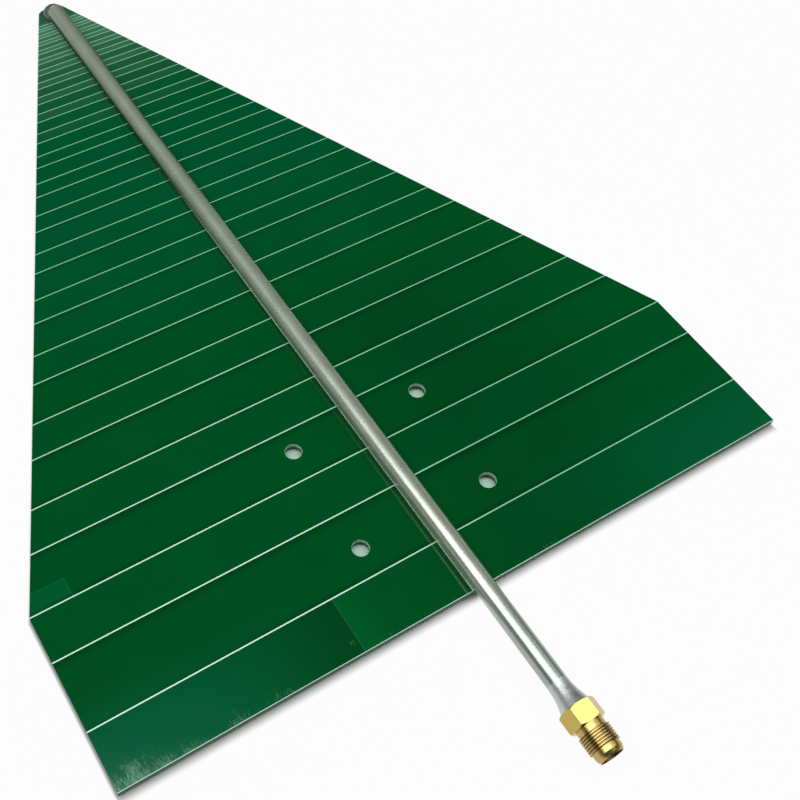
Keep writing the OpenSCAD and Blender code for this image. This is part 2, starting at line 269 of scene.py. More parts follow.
def mask_shade_level(material, place, axes):
    """Level of the mask's tone: painted shade right of the coax at the rear and along the edges of the wide
    teeth, and patches that differ at random.
    """
    # Painted shade: a broad darker stretch right of the coax at the rear, where less light falls
    from_shade_middle = add(material, "Math", {0: axes["X"], 1: 25 * MM}, operation="SUBTRACT")
    off_shade_middle = add(material, "Math", {0: from_shade_middle}, operation="ABSOLUTE")
    along = add(
        material, "MapRange",
        {"Value": axes["Y"], "From Min": 28 * MM, "From Max": 55 * MM, "To Min": 0.79, "To Max": 0.98},
        interpolation_type="SMOOTHSTEP")
    shade_right_of_coax = add(
        material, "MapRange",
        {"Value": off_shade_middle, "From Min": 0.0, "From Max": 45 * MM, "To Min": along, "To Max": 0.99},
        interpolation_type="SMOOTHSTEP")
    # Patches of darker and lighter mask at random, some 18 mm across
    cloud = add(material, "TexNoise", {"Vector": place, "Scale": 1 / (18 * MM), "Detail": 3.0})
    small_pools = add(
        material, "MapRange",
        {"Value": cloud, "From Min": 0.3, "From Max": 0.7, "To Min": 0.95, "To Max": 1.05})
    with_painted_shade = add(material, "Math", {0: shade_right_of_coax, 1: small_pools}, operation="MULTIPLY")
    # Painted shade along both edges of every wide tooth
    edge = add(material, "Attribute", attribute_name="edge_shade").outputs["Fac"]
    edge_painted_shade = add(material, "MapRange", {"Value": edge, "To Min": 1.0, "To Max": 0.66})
    return add(material, "Math", {0: with_painted_shade, 1: edge_painted_shade}, operation="MULTIPLY")


def mask_sheen_share(material, axes):
    """Share of a painted sheen at both rear corners, a paler reflection of the room, most of it at the left.
    """
    outer_left = add(
        material, "MapRange",
        {"Value": axes["X"], "From Min": -22 * MM, "From Max": -72 * MM, "To Max": 0.9},
        interpolation_type="SMOOTHSTEP")
    outer_right = add(
        material, "MapRange",
        {"Value": axes["X"], "From Min": 10 * MM, "From Max": 60 * MM, "To Max": 0.5},
        interpolation_type="SMOOTHSTEP")
    outer = add(material, "Math", {0: outer_left, 1: outer_right}, operation="ADD")
    rear = add(
        material, "MapRange", {"Value": axes["Y"], "From Min": -12 * MM, "From Max": -24 * MM},
        interpolation_type="SMOOTHSTEP")
    return add(material, "Math", {0: outer, 1: rear}, operation="MULTIPLY")


def mask_past_tooth(material, axes, pattern):
    """Level of the mask in the rear band, about the end of the short rear tooth."""
    tooth_end = -pattern.rear_tooth_len
    in_band = add(
        material, "Math", {0: axes["Y"], 1: rear_y + pattern.rear_tooth_w}, operation="LESS_THAN")
    past_end = add(material, "Math", {0: axes["X"], 1: tooth_end}, operation="LESS_THAN")
    # Past its end no foil lies under the film, so it is darker there, and painted shade makes it darkest
    # right beside the end
    bare = add(
        material, "MapRange",
        {"Value": axes["X"], "From Min": tooth_end - 22 * MM, "From Max": tooth_end, "To Max": 0.26},
        interpolation_type="SMOOTHSTEP")
    at_end = add(material, "Math", {0: bare, 1: past_end}, operation="MULTIPLY")
    darker = add(material, "Math", {0: at_end, 1: in_band}, operation="MULTIPLY")
    dark_level = add(material, "Math", {0: 1.0, 1: darker}, operation="SUBTRACT")
    # On its last 7 mm the mask is lighter, most of all at the end
    thin = add(
        material, "MapRange",
        {"Value": axes["X"], "From Min": tooth_end + 7 * MM, "From Max": tooth_end, "To Max": 0.3})
    on_tooth = add(material, "Math", {0: 1.0, 1: past_end}, operation="SUBTRACT")
    at_tooth_end = add(material, "Math", {0: thin, 1: on_tooth}, operation="MULTIPLY")
    return add(material, "Math", {0: at_tooth_end, 1: in_band, 2: dark_level}, operation="MULTIPLY_ADD")


def mask_wear(material, place, axes, pattern):
    """Share of wear: fine scuffs along the rear edge, thickest at its left corner, and a small crumple."""
    # Strokes 0.25 mm wide and 0.9 mm long, in patches some 5 mm across
    stretch = add(
        material, "Mapping",
        {"Vector": place, "Scale": (1 / (0.25 * MM), 1 / (0.9 * MM), 1 / MM), "Rotation": (0, 0, 0.7)})
    strokes = add(material, "TexNoise", {"Vector": stretch, "Scale": 1.0, "Detail": 5.0, "Roughness": 0.7})
    patches = add(material, "TexNoise", {"Vector": place, "Scale": 1 / (5 * MM), "Detail": 3.0})
    stroke = add(material, "Math", {0: patches, 1: 0.6, 2: strokes}, operation="MULTIPLY_ADD")
    near_left = add(
        material, "MapRange",
        {"Value": axes["X"], "From Min": -40 * MM, "From Max": -76 * MM, "To Max": 0.3})
    near_rear = add(
        material, "MapRange",
        {"Value": axes["Y"], "From Min": -24 * MM, "From Max": -31 * MM, "To Min": -0.35, "To Max": 0.12})
    corner = add(material, "Math", {0: near_left, 1: near_rear}, operation="ADD")
    # The crumple lies beside the end of the short rear tooth
    crumple_x, crumple_y = -pattern.rear_tooth_len - 1.2 * MM, rear_y + 2.6 * MM
    from_crumple = add(
        material, "VectorMath", {0: place, 1: (crumple_x, crumple_y, mask_high.z)}, operation="DISTANCE")
    crumple = add(
        material, "MapRange",
        {"Value": from_crumple, "From Min": 0.4 * MM, "From Max": 2 * MM, "To Min": 0.22, "To Max": -0.5})
    marked = add(material, "Math", {0: corner, 1: crumple}, operation="MAXIMUM")
    reach = add(material, "Math", {0: marked, 1: stroke}, operation="ADD")
    return add(material, "MapRange", {"Value": reach, "From Min": 0.98, "From Max": 1.4, "To Max": 0.75})


def mask_finish(name, colours, pattern, rear_colour, tip_colour, haze_power):
    """Solder mask: a hard, glossy epoxy film that pools a little, with painted shade, a painted sheen at the
    rear corners and near the tip, and scuffs at the rear left corner.
    """
    material, shader = blank_finish(name)
    place = add(material, "TexCoord").outputs["Object"]
    axes = add(material, "SeparateXYZ", {"Vector": place}).outputs
    tone = mask_tone(material, axes, colours, rear_colour, tip_colour, haze_power)
    # Painted shade right of the coax and along the edges of the wide teeth
    with_painted_shade = add(material, "HueSaturation", {"Color": tone, "Value": mask_shade_level(material, place, axes)})
    # Painted sheen at both rear corners
    cooler = add(
        material, "Mix", {SHARE: mask_sheen_share(material, axes), BASE: with_painted_shade, OVER: rgba(colours.painted_sheen_mask)},
        data_type="RGBA")
    banded = add(
        material, "HueSaturation", {"Color": cooler, "Value": mask_past_tooth(material, axes, pattern)})
    worn = mask_wear(material, place, axes, pattern)
    shown = add(
        material, "Mix", {SHARE: worn, BASE: banded, OVER: rgba(colours.scuffed_mask)}, data_type="RGBA")
    rough = add(material, "MapRange", {"Value": worn, "To Min": 0.1, "To Max": 0.5})
    # Ripple of the cured film, some 3 mm across
    ripple = add(material, "TexNoise", {"Vector": place, "Scale": 1 / (3 * MM), "Detail": 2.0})
    relief = add(material, "Bump", {"Height": ripple, "Strength": 0.2, "Distance": 0.01 * MM})
    feed(shader, {"Base Color": shown, "Roughness": rough, "Normal": relief, "IOR": MASK_IOR})
    return material


def gap_finish(name, bright, dim):
    """Thin mask in a gap: pale laminate shows through it, with the light that comes through it from the table
    painted in, and a painted glint that makes it brightest at the rear left.
    """
    material, shader = blank_finish(name)
    place = add(material, "TexCoord").outputs["Object"]
    axes = add(material, "SeparateXYZ", {"Vector": place}).outputs
    # Painted glint, strongest at the rear left
    leftward = add(
        material, "MapRange",
        {"Value": axes["X"], "From Min": 22 * MM, "From Max": -30 * MM, "To Min": 0.12, "To Max": 1.0},
        interpolation_type="SMOOTHSTEP")
    rearward = add(
        material, "MapRange", {"Value": axes["Y"], "From Min": 80 * MM, "From Max": -15 * MM},
        interpolation_type="SMOOTHSTEP")
    share = add(material, "Math", {0: leftward, 1: rearward}, operation="MULTIPLY")
    tone = add(material, "Mix", {SHARE: share, BASE: rgba(dim), OVER: rgba(bright)}, data_type="RGBA")
    feed(shader, {"Base Color": tone, "Roughness": 0.3, "IOR": MASK_IOR})
    return material


def edge_finish(name, tone, roughness):
    """One tone all along an edge of the mask, paler than the film beside it: a painted glint along the rear
    edge, and thin mask over foil edges.
    """
    material, shader = blank_finish(name)
    feed(shader, {"Base Color": rgba(tone), "Roughness": roughness, "IOR": MASK_IOR})
    return material


def mask_finishes(colours, pattern):
    """The finishes of the mask over wide and narrow teeth, gaps, the rear edge, foil edges and the patch."""
    wide, narrow, patch = (
        shared_finish(
            mask_finish, name, colours=colours, pattern=pattern, rear_colour=rear, tip_colour=tip,
            haze_power=haze_power)
        for name, rear, tip, haze_power in (
            ("solder mask on wide teeth", colours.wide_mask, colours.wide_mask_tip_sheen, 3.0),
            ("solder mask on narrow teeth", colours.narrow_mask, colours.narrow_mask_tip_sheen, 2.0),
            ("solder mask on the loading patch", colours.patch_mask, colours.wide_mask_tip_sheen, 3.0)))
    gap = shared_finish(
        gap_finish, "solder mask on bare gaps", bright=colours.glinting_gap_mask, dim=colours.gap_mask_dim)
    glint = shared_finish(
        edge_finish, "painted glint on the rear edge of the mask", tone=colours.rear_glint, roughness=0.3)
    foil_edge = shared_finish(
        edge_finish, "thin mask on foil edges", tone=colours.foil_edge_mask, roughness=0.08)
    return wide, narrow, gap, glint, foil_edge, patch


def laminate_finish(name, colours, pattern):
    """Sawn glass epoxy: a dull edge in which the layers of cloth show as fine lines."""
    material, shader = blank_finish(name)
    place = add(material, "TexCoord").outputs["Object"]
    axes = add(material, "SeparateXYZ", {"Vector": place}).outputs
    # Layers of cloth 0.2 mm thick
    layers = add(material, "Math", {0: axes["Z"], 1: 2 * math.pi / (0.2 * MM)}, operation="MULTIPLY")
    wave = add(material, "Math", {0: layers}, operation="SINE")
    grain = add(material, "TexNoise", {"Vector": place, "Scale": 1 / (0.8 * MM), "Detail": 4.0})
    mixed = add(material, "Math", {0: wave, 1: 0.25, 2: grain}, operation="MULTIPLY_ADD")
    light = add(
        material, "MapRange",
        {"Value": mixed, "From Min": 0.1, "From Max": 0.9, "To Min": 0.75, "To Max": 1.2})
    sawn = add(material, "HueSaturation", {"Color": rgba(colours.laminate), "Value": light})
    # Walls of the four mounting holes, folded onto one
    folded = add(material, "VectorMath", {0: place}, operation="ABSOLUTE")
    hole = (pattern.hole_dx / 2, pattern.hole_dy / 2, 0)
    from_hole = add(material, "VectorMath", {0: folded, 1: hole}, operation="SUBTRACT")
    flat = add(material, "VectorMath", {0: from_hole, 1: (1, 1, 0)}, operation="MULTIPLY")
    away = add(material, "VectorMath", {0: flat}, operation="LENGTH")
    in_hole = add(material, "Math", {0: away, 1: 2.4 * MM}, operation="LESS_THAN")
    # Painted shade darkens their lower half
    wall_painted_shade = add(
        material, "MapRange",
        {"Value": axes["Z"], "From Min": 0.5 * MM, "From Max": 1 * MM, "To Min": 0.08, "To Max": 1.0},
        interpolation_type="SMOOTHSTEP")
    wall = add(material, "HueSaturation", {"Color": rgba(colours.drilled_laminate), "Value": wall_painted_shade})
    shown = add(material, "Mix", {SHARE: in_hole, BASE: sawn, OVER: wall}, data_type="RGBA")
    feed(shader, {"Base Color": shown, "Roughness": 0.65, "IOR": 1.55})
    return material


def tube_finish(name, colours):
    """Drawn tube: dulled by oxide towards the tip, tinned and bright behind the board, with a painted
    reflection of the dark board on the right flank of its far part.
    """
    material, shader = blank_finish(name)
    place = add(material, "TexCoord").outputs["Object"]
    axes = add(material, "SeparateXYZ", {"Vector": place}).outputs
    rearward = add(
        material, "MapRange", {"Value": axes["Y"], "From Min": 70 * MM, "From Max": -35 * MM},
        interpolation_type="SMOOTHSTEP")
    tone = add(
        material, "Mix", {SHARE: rearward, BASE: rgba(colours.tube), OVER: rgba(colours.tinned_tube)},
        data_type="RGBA")
    behind = add(
        material, "MapRange", {"Value": axes["Y"], "From Min": rear_y, "From Max": rear_y - 10 * MM},
        interpolation_type="SMOOTHSTEP")
    cooled = add(material, "Mix", {SHARE: behind, BASE: tone, OVER: rgba(colours.tail)}, data_type="RGBA")
    # Blotches of oxide, some 6 mm across
    blotches = add(material, "TexNoise", {"Vector": place, "Scale": 1 / (6 * MM), "Detail": 4.0})
    light = add(
        material, "MapRange",
        {"Value": blotches, "From Min": 0.3, "From Max": 0.7, "To Min": 0.9, "To Max": 1.06})
    shade = add(material, "HueSaturation", {"Color": cooled, "Value": light})
    # Painted reflection of the dark green board on the right flank of the far part
    flank = add(
        material, "MapRange",
        {"Value": axes["X"], "From Min": 0.5 * MM, "From Max": 1.5 * MM, "To Max": 0.92},
        interpolation_type="SMOOTHSTEP")
    far = add(
        material, "MapRange", {"Value": axes["Y"], "From Min": 68 * MM, "From Max": 105 * MM},
        interpolation_type="SMOOTHSTEP")
    flank_reflection = add(material, "Math", {0: flank, 1: far}, operation="MULTIPLY")
    shown = add(
        material, "Mix", {SHARE: flank_reflection, BASE: shade, OVER: rgba(colours.shade_and_reflection_tone)}, data_type="RGBA")
    # Draw lines 0.3 mm apart and 25 mm long
    stretch = add(
        material, "Mapping",
        {"Vector": place, "Scale": (1 / (0.3 * MM), 1 / (25 * MM), 1 / (0.3 * MM))})
    lines = add(material, "TexNoise", {"Vector": stretch, "Scale": 1.0, "Detail": 3.0})
    polish = add(material, "MapRange", {"Value": rearward, "To Min": 0.4, "To Max": 0.22})
    rough = add(material, "Math", {0: lines, 1: 0.12, 2: polish}, operation="MULTIPLY_ADD")
    relief = add(material, "Bump", {"Height": lines, "Strength": 0.3, "Distance": 0.02 * MM})
    # Flux and fingermarks scatter light like paint, so only part of it shines as metal
    metal = add(material, "MapRange", {"Value": rearward, "To Min": 0.5, "To Max": 0.8})
    feed(shader, {"Base Color": shown, "Roughness": rough, "Metallic": metal, "Normal": relief})
    return material


def grained_metal(name, roughness, grain_mm, relief_mm, metallic=1.0):
    """A metal surface, its colour still to come, with a fine grain that breaks its highlights."""
    material, shader = blank_finish(name)
    place = add(material, "TexCoord").outputs["Object"]
    grain = add(material, "TexNoise", {"Vector": place, "Scale": 1 / (grain_mm * MM), "Detail": 3.0})
    rough = add(
        material, "MapRange", {"Value": grain, "To Min": roughness * 0.75, "To Max": roughness * 1.25})
    relief = add(material, "Bump", {"Height": grain, "Strength": 0.5, "Distance": relief_mm * MM})
    feed(shader, {"Roughness": rough, "Metallic": metallic, "Normal": relief})
    return material, shader, place


def metal_finish(name, tone, **surface):
    """Metal of one colour with a fine grain."""
    material, shader, _ = grained_metal(name, **surface)
    feed(shader, {"Base Color": rgba(tone)})
    return material


def solder_finish(colours):
    """Flowed solder: bright and uneven, so that it breaks into glints."""
    return shared_finish(
        metal_finish, "flowed solder", tone=colours.solder, roughness=0.42, grain_mm=1.2, relief_mm=0.06,
        metallic=0.87)


def brass_finish(colours):
    """Gilt turned brass: warm, with a sharp sheen."""
    return shared_finish(
        metal_finish, "gilt turned brass", tone=colours.brass, roughness=0.2, grain_mm=0.6, relief_mm=0.006)


def thread_finish(name, colours, jack):
    """Browned brass: darker down in the grooves and brighter on the crests."""
    material, shader, place = grained_metal(
        name, roughness=0.28, grain_mm=0.6, relief_mm=0.006, metallic=0.93)
    centred = add(material, "VectorMath", {0: place, 1: (0, 0, axis_z)}, operation="SUBTRACT")
    across = add(material, "VectorMath", {0: centred, 1: (1, 0, 1)}, operation="MULTIPLY")
    radius = add(material, "VectorMath", {0: across}, operation="LENGTH")
    crest_r = jack.thread_d / 2
    # Darker towards the groove's root, brighter on the crests
    worn = add(
        material, "MapRange",
        {"Value": radius, "From Min": crest_r - 0.14 * MM, "From Max": crest_r - 0.01 * MM})
    tone = add(
        material, "Mix",
        {SHARE: worn, BASE: rgba(colours.groove_tone), OVER: rgba(colours.thread_brass)}, data_type="RGBA")
    feed(shader, {"Base Color": tone})
    return material


def strip_solder_painted_light(name, colours):
    """Tinned strip: pale, frosted solder beside the coax, with a painted highlight along its near part and
    painted shade along its far part.
    """
    material, shader, place = grained_metal(
        name, roughness=0.45, grain_mm=0.8, relief_mm=0.05, metallic=0.15)
    axes = add(material, "SeparateXYZ", {"Vector": place}).outputs
    # Painted shade along the far part of the strip, beside the tube
    far = add(
        material, "MapRange", {"Value": axes["Y"], "From Min": 55 * MM, "From Max": 100 * MM},
        interpolation_type="SMOOTHSTEP")
    tone = add(
        material, "Mix",
        {SHARE: far, BASE: rgba(colours.pale_solder_highlight), OVER: rgba(colours.shade_and_reflection_tone)}, data_type="RGBA")
    feed(shader, {"Base Color": tone})
    return material


def strip_finish(colours):
    """The finish of the tinned strip and of the seam on it."""
    return shared_finish(strip_solder_painted_light, "frosted tinned strip", colours=colours)


def insulation_finish(name, tone):
    """Fluoropolymer: waxy white, so it has a soft sheen and no sharp highlight."""
    material, shader = blank_finish(name)
    feed(shader, {"Base Color": rgba(tone), "Roughness": 0.45, "IOR": 1.36})
    return material


def choose(piece, *others):
    """Selects pieces and nothing else, with the first of them active."""
    bpy.ops.object.select_all(action="DESELECT")
    for one in (*others, piece):
        one.select_set(True)
    bpy.context.view_layer.objects.active = piece


def start(name, primitive, scale=(1, 1, 1), **settings):
    """Adds a primitive, named, with its place and size in its mesh."""
    bpy.ops.object.select_all(action="DESELECT")
    primitive(**settings)
    piece = bpy.context.object
    piece.name = name
    piece.data.name = name
    piece.scale = scale
    bpy.ops.object.transform_apply(location=True, rotation=True, scale=True)
    return piece


def edit(piece):
    """Opens a piece in edit mode, all of it selected."""
    choose(piece)
    bpy.ops.object.mode_set(mode="EDIT")
    bpy.ops.mesh.select_mode(type="FACE")
    bpy.ops.mesh.select_all(action="SELECT")


def close_edit():
    """Goes back to object mode."""
    bpy.ops.object.mode_set(mode="OBJECT")


def cut(place, normal, **keep):
    """Cuts what is open in edit mode along a plane."""
    bpy.ops.mesh.select_all(action="SELECT")
    bpy.ops.mesh.bisect(plane_co=place, plane_no=normal, threshold=FINE, **keep)


def cut_in_steps(low_y, high_y, steps):
    """Cuts what is open in edit mode across the boom, in equal steps."""
    for step in range(1, steps):
        cut((0, low_y + (high_y - low_y) * step / steps, 0), ACROSS)


def pick(piece, wanted):
    """Selects the faces of an open piece by their middle."""
    bpy.ops.mesh.select_all(action="DESELECT")
    bpy.ops.object.mode_set(mode="OBJECT")
    for face in piece.data.polygons:
        face.select = wanted(face.center)
    bpy.ops.object.mode_set(mode="EDIT")


def modify(piece, kind, **settings):
    """Adds a modifier to a piece and applies it."""
    choose(piece)
    modifier = piece.modifiers.new(kind.title(), kind)
    for key, value in settings.items():
        setattr(modifier, key, value)
    bpy.ops.object.modifier_apply(modifier=modifier.name)


def carve(piece, tool, operation="DIFFERENCE"):
    """Takes a tool piece away from a piece, or keeps what they share, and removes the tool."""
    modify(piece, "BOOLEAN", object=tool, operation=operation, solver="EXACT")
    bpy.data.objects.remove(tool)


def break_edges(piece, width_mm):
    """Rounds the sharp edges of a piece."""
    modify(
        piece, "BEVEL", width=width_mm * MM, segments=2, limit_method="ANGLE", angle_limit=math.radians(25))


def smooth(piece, angle=30):
    """Shades a piece smooth, up to an angle in degrees."""
    choose(piece)
    bpy.ops.object.shade_smooth_by_angle(angle=math.radians(angle))


def outward(piece):
    """Merges doubles and turns all faces outwards."""
    edit(piece)
    bpy.ops.mesh.remove_doubles(threshold=MERGE)
    bpy.ops.mesh.normals_make_consistent(inside=False)
    close_edit()


def turned(name, profile):
    """Turns pairs of (place on Y, radius) about the coax's axis, ring after ring."""
    (y, r), *rest = profile
    piece = start(
        name, bpy.ops.mesh.primitive_circle_add, vertices=SIDES, radius=r, location=(0, y, axis_z),
        rotation=LYING)
    edit(piece)
    bpy.ops.mesh.select_mode(type="EDGE")
    bpy.ops.mesh.select_all(action="SELECT")
    for next_y, next_r in rest:
        bpy.ops.mesh.extrude_edges_move(TRANSFORM_OT_translate={"value": (0, next_y - y, 0)})
        bpy.ops.transform.resize(
            value=(next_r / r, 1, next_r / r), center_override=(0, next_y, axis_z))
        y, r = next_y, next_r
    close_edit()
    outward(piece)
    return piece


def bar(name, radius, low_y, high_y, vertices=SIDES, **settings):
    """A straight bar along the coax's axis."""
    return start(
        name, bpy.ops.mesh.primitive_cylinder_add, vertices=vertices, radius=radius,
        depth=high_y - low_y, location=(0, (low_y + high_y) / 2, axis_z), rotation=LYING, **settings)


def upright(name, radius, x, y, low_z, high_z):
    """An upright round bar through a film, 1 mm longer at both ends."""
    return start(
        name, bpy.ops.mesh.primitive_cylinder_add, vertices=SIDES, radius=radius,
        depth=high_z - low_z + 2 * MM, location=(x, y, (low_z + high_z) / 2))


def lumps(piece, size_mm, height_mm):
    """Lumps of a given size raised on a piece."""
    texture = bpy.data.textures.new(piece.name + " lumps", "CLOUDS")
    texture.noise_scale = size_mm * MM
    texture.noise_depth = 2
    modify(piece, "DISPLACE", texture=texture, texture_coords="LOCAL", strength=height_mm * MM, mid_level=0.5)
    bpy.data.textures.remove(texture)


def dress(piece, *finishes):
    """Gives a piece its finishes in place of any that it has."""
    piece.data.materials.clear()
    for finish in finishes:
        piece.data.materials.append(finish)


def hand_over(piece, slot, *nodes):
    """Puts a finished piece on the antenna in place of its solids."""
    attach(piece, "root")
    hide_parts(*nodes)


def gap_places(pattern):
    """Places of all the gaps along the boom, from the rear."""
    apex_y = tip_y + pattern.apex_past_tip
    rear_gap = rear_y + pattern.rear_tooth_w
    first = apex_y - rear_gap - pattern.rear_gap_shift
    places = [rear_gap]
    for cell in range(pattern.cells):
        if cell > 0:
            places.append(apex_y - first * pattern.tau ** cell)
        places.append(apex_y - first * pattern.tau ** (cell + pattern.wide_share))
    return places


def pad_start(pattern):
    """Place along the boom where the tip pad starts."""
    return gap_places(pattern)[-1] + pattern.tooth_gap / 2


def shoulder(pattern):
    """Place along the boom from which the board tapers, and how steeply each of its sides does."""
    shoulder_y = gap_places(pattern)[2]
    return shoulder_y, (half_w - pattern.tip_half_w) / (tip_y - shoulder_y)


def patch_corner(pattern):
    """The inner corner of the loading patch."""
    return -half_w + pattern.end_patch_w, shoulder(pattern)[0] + pattern.tooth_gap / 2 + pattern.end_patch_h


def hole_places(pattern):
    """Middles of the four mounting holes."""
    return [(sx * pattern.hole_dx / 2, sy * pattern.hole_dy / 2) for sx in (-1, 1) for sy in (-1, 1)]


def wide_edges(pattern):
    """Places of both edges of every wide tooth, each with the place where its painted shade ends."""
    places = gap_places(pattern)
    half_gap = pattern.tooth_gap / 2
    edges = []
    for cell in range(pattern.cells):
        near, far = places[2 * cell] + half_gap, places[2 * cell + 1] - half_gap
        scale = pattern.tau ** cell
        edges.append((near, near + pattern.lower_shade_w * scale))
        edges.append((far, far - pattern.upper_shade_w * scale))
    return edges


def round_nose(piece, pattern):
    """Cuts the far end of an open film to a half circle."""
    nose_y = tip_y - pattern.nose_r
    cut((0, nose_y, 0), ACROSS)
    for side in (-1, 1):
        cut((side * pattern.nose_r, 0, 0), ALONG)
    pick(piece, lambda middle: middle.y > nose_y and abs(middle.x) > pattern.nose_r)
    bpy.ops.mesh.delete(type="FACE")
    arc_steps = 24
    inscribed = pattern.nose_r * math.cos(math.pi / 2 / arc_steps)
    for step in range(arc_steps):
        turn = math.pi * ((step + 0.5) / arc_steps - 0.5)
        normal = (math.sin(turn), math.cos(turn), 0)
        pick(piece, lambda middle: middle.y > nose_y)
        bpy.ops.mesh.bisect(
            plane_co=(inscribed * normal[0], nose_y + inscribed * normal[1], 0), plane_no=normal,
            threshold=FINE, clear_outer=True)


def film(name, pattern, top_z):
    """A film of the board's outline, cut along every gap, the rear edge and the patches."""
    shoulder_y, taper = shoulder(pattern)
    piece = start(
        name, bpy.ops.mesh.primitive_plane_add, scale=(2 * half_w, tip_y - rear_y, 1), size=1,
        location=(0, (rear_y + tip_y) / 2, top_z))
    edit(piece)
    for side in (-1, 1):
        cut((side * half_w, shoulder_y, 0), (side, taper, 0), clear_outer=True)
    round_nose(piece, pattern)
    for side in (-1, 1):
        cut((side * pattern.opening_w / 2, 0, 0), ALONG)
        cut((side * pattern.tip_pad_w / 2, 0, 0), ALONG)
    cut((0, rear_y + pattern.rear_glint_w, 0), ACROSS)
    for y in gap_places(pattern):
        for side in (-1, 1):
            cut((0, y + side * pattern.tooth_gap / 2, 0), ACROSS)
    for _, shade_end in wide_edges(pattern):
        cut((0, shade_end, 0), ACROSS)
    patch_x, patch_y = patch_corner(pattern)
    for edge in (0, pattern.foil_edge_w):
        cut((-pattern.rear_tooth_len - edge, 0, 0), ALONG)
        cut((patch_x + edge, 0, 0), ALONG)
        cut((0, patch_y + edge, 0), ACROSS)
    close_edit()
    return piece


def in_opening(pattern):
    """A test for the middles of faces that the mask leaves bare: the strip under the coax and the pad."""
    pad_y = pad_start(pattern)
    return lambda middle: (
        abs(middle.x) < pattern.opening_w / 2
        or (abs(middle.x) < pattern.tip_pad_w / 2 and middle.y > pad_y))


def paint_film(piece, pattern, patches):
    """Gives every face of a film the finish of the tooth, gap or patch that it lies over."""
    places, pad_y = gap_places(pattern), pad_start(pattern)
    edge = pattern.foil_edge_w
    patch_x, patch_y = patch_corner(pattern)
    # Slots in the order of mask_finishes
    wide, narrow, gap, glint, foil_edge, patch = range(6)
    for face in piece.data.polygons:
        x, y = face.center.x, face.center.y
        before = sum(1 for place in places if place < y)
        slot = wide if before % 2 or y > pad_y else narrow
        if min(abs(y - place) for place in places) < pattern.tooth_gap / 2:
            slot = gap
        elif y < rear_y + pattern.rear_glint_w:
            slot = glint
        elif patches and before == 0:
            at_end = -pattern.rear_tooth_len - edge < x < -pattern.rear_tooth_len
            slot = foil_edge if at_end else narrow
        elif patches and before == 3 and x < patch_x + edge and y < patch_y + edge:
            slot = foil_edge if x > patch_x or y > patch_y else patch
        face.material_index = slot


def shade_edges(piece, pattern):
    """Marks the points of a film on the edges of the wide teeth, where painted shade darkens the mask."""
    shade = piece.data.attributes.new("edge_shade", "FLOAT", "POINT")
    edges = [edge for edge, _ in wide_edges(pattern)]
    on_edge = 5 * FINE
    for vertex in piece.data.vertices:
        shade.data[vertex.index].value = float(min(abs(vertex.co.y - edge) for edge in edges) < on_edge)


class ANTENNA_OT_mask_films(bpy.types.Operator):
    """Make the green mask films of both faces"""

    bl_idname = "antenna.mask_films"
    bl_label = "Mask Films"

    def execute(self, context):
        pattern = context.scene.antenna_pattern
        finishes = mask_finishes(context.scene.antenna_colours, pattern)
        for name, low, high, node in (
                ("top_mask_film", mask_low, mask_high, "top_mask"),
                ("bottom_mask_film", under_low, under_high, "bottom_mask")):
            on_top = node == "top_mask"
            piece = film(name, pattern, high.z)
            if on_top:
                edit(piece)
                pick(piece, in_opening(pattern))
                bpy.ops.mesh.delete(type="FACE")
                close_edit()
            modify(piece, "SOLIDIFY", thickness=high.z - low.z, offset=-1)
            for x, y in hole_places(pattern):
                carve(piece, upright("hole", pattern.mask_hole_r, x, y, low.z, high.z))
            if not on_top:
                carve(piece, upright("joint", joint_high.x, 0, feed_y, low.z, high.z))
            dress(piece, *finishes)
            paint_film(piece, pattern, patches=on_top)
            shade_edges(piece, pattern)
            hand_over(piece, "solder_mask", node)
        return {"FINISHED"}


class ANTENNA_OT_tinning(bpy.types.Operator):
    """Tin the bare feeder strip and the pad at the tip"""

    bl_idname = "antenna.tinning"
    bl_label = "Tinned Feeder"

    def execute(self, context):
        pattern = context.scene.antenna_pattern
        strip_t = 0.06 * MM
        piece = film("tinned_feeder", pattern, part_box("top_copper")[1].z + strip_t)
        bare = in_opening(pattern)
        edit(piece)
        pick(piece, lambda middle: not bare(middle))
        bpy.ops.mesh.delete(type="FACE")
        cut_in_steps(rear_y, tip_y, steps=160)
        close_edit()
        modify(piece, "SOLIDIFY", thickness=strip_t, offset=-1)
        lumps(piece, size_mm=1.1, height_mm=0.05)
        smooth(piece, 60)
        dress(piece, strip_finish(context.scene.antenna_colours))
        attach(piece, "root")
        return {"FINISHED"}


class ANTENNA_OT_coax(bpy.types.Operator):
    """Draw the coax tube"""

    bl_idname = "antenna.coax"
    bl_label = "Coax Tube"

    def execute(self, context):
        wall = tube_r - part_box("coax_dielectric")[1].x
        piece = bar(
            "drawn_coax_tube", tube_r, tube_low.y, tube_high.y, vertices=128, end_fill_type="NOTHING")
        edit(piece)
        cut_in_steps(tube_low.y, tube_high.y, steps=90)
        close_edit()
        outward(piece)
        lumps(piece, size_mm=9, height_mm=0.02)
        modify(piece, "SOLIDIFY", thickness=wall, offset=-1)
        smooth(piece)
        dress(piece, shared_finish(tube_finish, "drawn tinned tube", colours=context.scene.antenna_colours))
        hand_over(piece, "coax_tube", "coax_tube")
        return {"FINISHED"}


def flow_seam(colours):
    """The seam: a copy of its solid, cut across about every 0.8 mm, so that its fillets can swell."""
    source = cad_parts["solder_seam"]
    low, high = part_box("solder_seam")
    seam = source.copy()
    seam.data = source.data.copy()
    seam.name = "flowed_seam"
    bpy.context.collection.objects.link(seam)
    seam.parent = None
    seam.hide_render = False
    seam.hide_viewport = False
    edit(seam)
    bpy.ops.mesh.remove_doubles(threshold=MERGE)
    cut_in_steps(low.y, high.y, steps=230)
    close_edit()
    lumps(seam, size_mm=1.6, height_mm=0.16)
    smooth(seam, 50)
    dress(seam, strip_finish(colours))
    hand_over(seam, "solder", "solder_seam")


